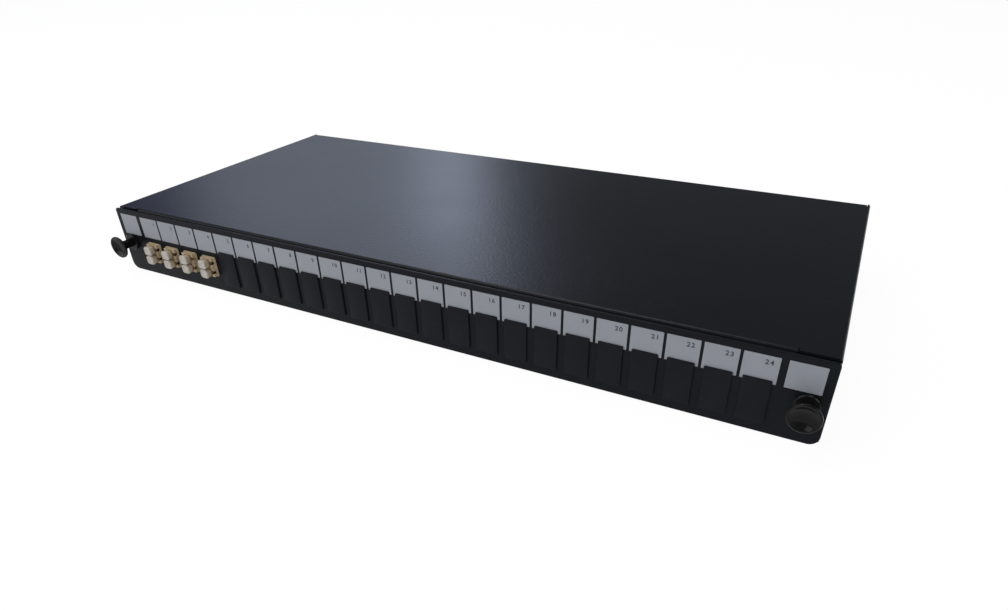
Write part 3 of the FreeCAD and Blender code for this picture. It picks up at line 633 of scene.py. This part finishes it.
def makeFloor():
    # matte to the part, and nearly white to the eye and in reflections
    bm = bmesh.new()
    bmesh.ops.create_grid(bm, x_segments=1, y_segments=1, size=studio["floor"] / 2)
    bmesh.ops.translate(bm, vec=(0, 0, -studio["floorDrop"] * mm), verts=bm.verts)
    mesh = bpy.data.meshes.new("floor")
    bm.to_mesh(mesh)
    bm.free()
    floor = bpy.data.objects.new("floor", mesh)
    bpy.context.scene.collection.objects.link(floor)
    material = bpy.data.materials.new("paleFloor")
    material.use_nodes = True
    tree = material.node_tree
    tree.nodes.clear()
    start = Sock(tree, None)
    eye, glossy, through = [start.add("LightPath", None, None, kind)
                            for kind in ("Is Camera Ray", "Is Glossy Ray", "Is Transmission Ray")]
    seen = start.maths("MAXIMUM", start.maths("MAXIMUM", eye, glossy), through)
    matte = start.add("BsdfDiffuse", None, {"Color": studio["floorShade"]})
    white = start.add("Emission", None, {"Color": studio["white"], "Strength": 1.0})
    shade = start.add("MixShader", None, {0: studio["floorWhite"] * seen, 1: matte, 2: white})
    out = tree.nodes.new("ShaderNodeOutputMaterial")
    tree.links.new(shade.out, out.inputs["Surface"])
    mesh.materials.append(material)


makeFloor()
world = bpy.data.worlds.new("studio")
bpy.context.scene.world = world
world.use_nodes = True
seen = Sock(world.node_tree, None).add("LightPath", None, None, "Is Camera Ray")  # white beyond the floor
sky = seen.blend(studio["worldShade"], studio["white"])
world.node_tree.links.new(sky.out, world.node_tree.nodes["Background"].inputs["Color"])

windowShade = (0.70, 0.79, 1.0)
roomShade = (1.0, 0.99, 0.97)
# bearing left of the rear and height are in degrees, far and size in metres; level is the face's brightness
lamps = {"windowLow": dict(bearing=41.5, height=13, far=4.0, size=(1.8, 1.0), level=0.44, shade=windowShade),
         "windowHigh": dict(bearing=41.5, height=27, far=4.0, size=(1.8, 0.95), level=3.2, shade=windowShade),
         "paneLow": dict(bearing=32, height=13, far=3.9, size=(0.3, 1.0), level=0.75, shade=windowShade),
         "paneHigh": dict(bearing=32, height=27, far=3.9, size=(0.3, 0.95), level=4.9, shade=windowShade),
         "dusk": dict(bearing=67, height=17, far=4.0, size=(1.7, 1.0), level=0.2, shade=(0.05, 0.16, 1.0)),
         "front": dict(bearing=137, height=27, far=2.9, size=(3.0, 2.0), level=2.7, shade=(1.0, 0.98, 0.95)),
         "fill": dict(bearing=240, height=25, far=3.2, size=(2.0, 1.5), level=3.6, shade=roomShade),
         "above": dict(bearing=75, height=72, far=2.4, size=(1.6, 1.4), level=4.6, shade=roomShade),
         "strip": dict(bearing=165, height=60, far=2.1, size=(2.2, 0.14), level=6.0, shade=roomShade)}


def addLamp(name, lamp):
    wide, tall = lamp["size"]
    light = bpy.data.lights.new(name, "AREA")
    light.shape = "RECTANGLE"
    light.size = wide
    light.size_y = tall
    light.energy = lamp["level"] * math.pi * wide * tall
    light.color = lamp["shade"]
    holder = bpy.data.objects.new(name, light)
    holder.visible_camera = False
    bpy.context.scene.collection.objects.link(holder)
    bearing = math.radians(lamp["bearing"])
    height = math.radians(lamp["height"])
    outward = math.cos(height)
    way = Vector((-math.sin(bearing) * outward, math.cos(bearing) * outward, math.sin(height)))
    facing = way.to_track_quat("Z", "Y").to_matrix()
    holder.matrix_world = Matrix.Translation(way * lamp["far"]) @ facing.to_4x4()


for name, lamp in lamps.items():
    addLamp(name, lamp)
print("studio lit")

# picture, focal and middle in pixels of the picture, angles in degrees, place in mm, near and far in metres
view = {"picture": (1008, 610), "focal": 678.4, "middle": (494.2, 365.0), "turn": 28.551, "tilt": 32.949,
        "roll": -1.583, "place": (206.3, -368.1, 194.4), "sensor": 36.0, "near": 0.01, "far": 50}


def makeCamera():
    turn, tilt, roll = (math.radians(view[key]) for key in ("turn", "tilt", "roll"))
    ahead = Vector((-math.sin(turn) * math.cos(tilt), math.cos(turn) * math.cos(tilt), -math.sin(tilt)))
    right = Vector((math.cos(turn), math.sin(turn), 0))
    up = right.cross(ahead)
    across = math.cos(roll) * right + math.sin(roll) * up
    above = math.cos(roll) * up - math.sin(roll) * right
    wide, tall = view["picture"]
    lens = bpy.data.cameras.new("camera")
    lens.sensor_fit = "HORIZONTAL"
    lens.sensor_width = view["sensor"]
    lens.lens = view["focal"] * view["sensor"] / wide
    lens.shift_x = (wide / 2 - view["middle"][0]) / wide
    lens.shift_y = (view["middle"][1] - tall / 2) / wide
    lens.clip_start = view["near"]
    lens.clip_end = view["far"]
    camera = bpy.data.objects.new("camera", lens)
    bpy.context.scene.collection.objects.link(camera)
    facing = Matrix((across, above, -ahead)).transposed()
    camera.matrix_world = Matrix.Translation(Vector(view["place"]) * mm) @ facing.to_4x4()
    bpy.context.scene.camera = camera


makeCamera()
bpy.context.scene.view_settings.view_transform = "Standard"
bpy.context.view_layer.update()
